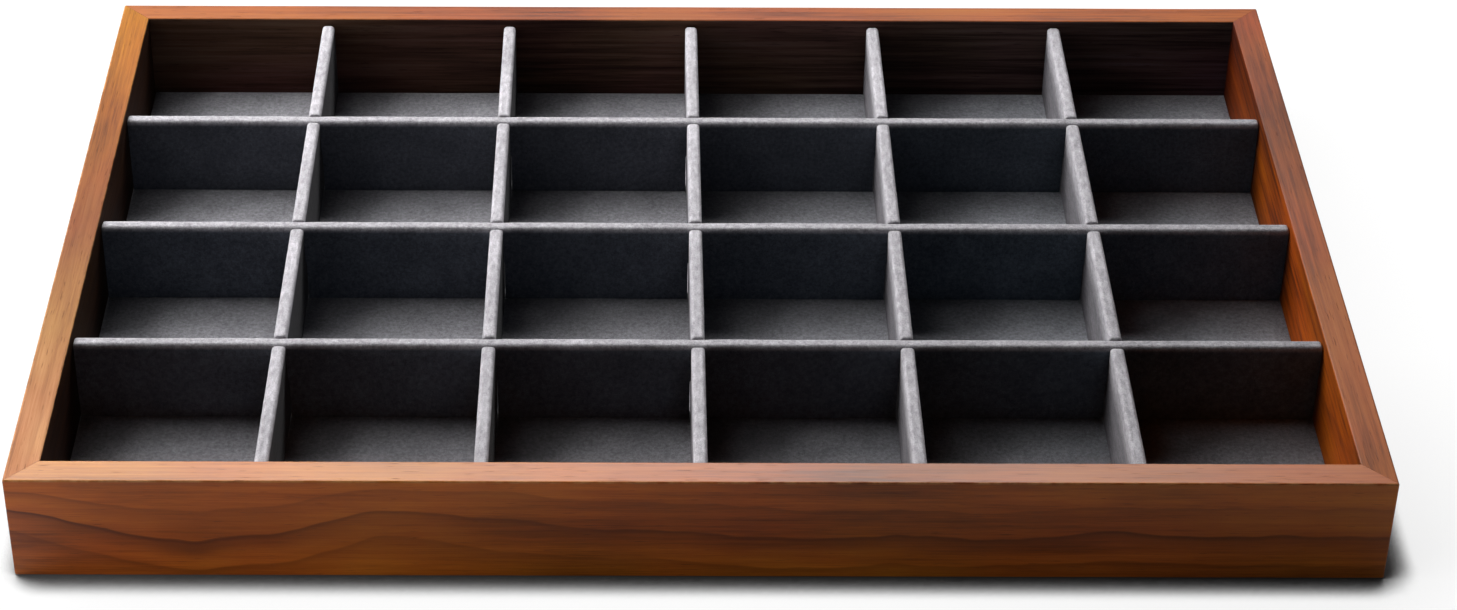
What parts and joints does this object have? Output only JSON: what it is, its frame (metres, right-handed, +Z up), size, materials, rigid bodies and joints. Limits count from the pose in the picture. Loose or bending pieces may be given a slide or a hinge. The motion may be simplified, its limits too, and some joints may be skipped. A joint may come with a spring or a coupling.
{
  "type": "compartment organizer tray",
  "caption": "Open rectangular wooden tray with mitred rails and a lift-out grid of interlocking grey fabric-covered dividers over a grey lined floor.",
  "frame": {"origin": "centre of the tray's footprint, on the surface it stands on", "axes": "+X along the long side to the viewer's right, +Y from front to back, +Z up"},
  "size_m": [0.35, 0.24, 0.0305],
  "materials": {
    "rail_wood": "reddish walnut stain, satin lacquer, long grain along each rail",
    "spline_wood": "bare beech, sawn",
    "panel_wood": "bare birch plywood",
    "lining_card": "grey board, matt",
    "divider_board": "dense grey board, matt",
    "grey_velvet": "light grey short-pile velvet microfibre, soft sheen"
  },
  "bodies": {
    "tray": {"front_rail": "rail_wood", "back_rail": "rail_wood", "left_rail": "rail_wood", "right_rail": "rail_wood", "corner_spline_front_left": "spline_wood", "corner_spline_front_right": "spline_wood", "corner_spline_back_left": "spline_wood", "corner_spline_back_right": "spline_wood", "bottom_panel": "panel_wood", "lining_card": "lining_card", "floor_lining": "grey_velvet"},
    "short_divider_1": {"short_divider_1_core": "divider_board", "short_divider_1_cover": "grey_velvet"},
    "short_divider_2": {"short_divider_2_core": "divider_board", "short_divider_2_cover": "grey_velvet"},
    "short_divider_3": {"short_divider_3_core": "divider_board", "short_divider_3_cover": "grey_velvet"},
    "short_divider_4": {"short_divider_4_core": "divider_board", "short_divider_4_cover": "grey_velvet"},
    "short_divider_5": {"short_divider_5_core": "divider_board", "short_divider_5_cover": "grey_velvet"},
    "long_divider_1": {"long_divider_1_core": "divider_board", "long_divider_1_cover": "grey_velvet"},
    "long_divider_2": {"long_divider_2_core": "divider_board", "long_divider_2_cover": "grey_velvet"},
    "long_divider_3": {"long_divider_3_core": "divider_board", "long_divider_3_cover": "grey_velvet"}
  },
  "joints": [
    {"name": "short_divider_1_lift", "type": "slide", "parent": "tray", "child": "short_divider_1", "axis": [0, 0, 1], "range_m": [0, 0.045]},
    {"name": "short_divider_2_lift", "type": "slide", "parent": "tray", "child": "short_divider_2", "axis": [0, 0, 1], "range_m": [0, 0.045]},
    {"name": "short_divider_3_lift", "type": "slide", "parent": "tray", "child": "short_divider_3", "axis": [0, 0, 1], "range_m": [0, 0.045]},
    {"name": "short_divider_4_lift", "type": "slide", "parent": "tray", "child": "short_divider_4", "axis": [0, 0, 1], "range_m": [0, 0.045]},
    {"name": "short_divider_5_lift", "type": "slide", "parent": "tray", "child": "short_divider_5", "axis": [0, 0, 1], "range_m": [0, 0.045]},
    {"name": "long_divider_1_lift", "type": "slide", "parent": "short_divider_3", "child": "long_divider_1", "axis": [0, 0, 1], "range_m": [0, 0.045]},
    {"name": "long_divider_2_lift", "type": "slide", "parent": "short_divider_3", "child": "long_divider_2", "axis": [0, 0, 1], "range_m": [0, 0.045]},
    {"name": "long_divider_3_lift", "type": "slide", "parent": "short_divider_3", "child": "long_divider_3", "axis": [0, 0, 1], "range_m": [0, 0.045]}
  ],
  "couplings": [
    {"joint": "short_divider_1_lift", "follows": "short_divider_3_lift", "ratio": 1},
    {"joint": "short_divider_2_lift", "follows": "short_divider_3_lift", "ratio": 1},
    {"joint": "short_divider_4_lift", "follows": "short_divider_3_lift", "ratio": 1},
    {"joint": "short_divider_5_lift", "follows": "short_divider_3_lift", "ratio": 1}
  ]
}
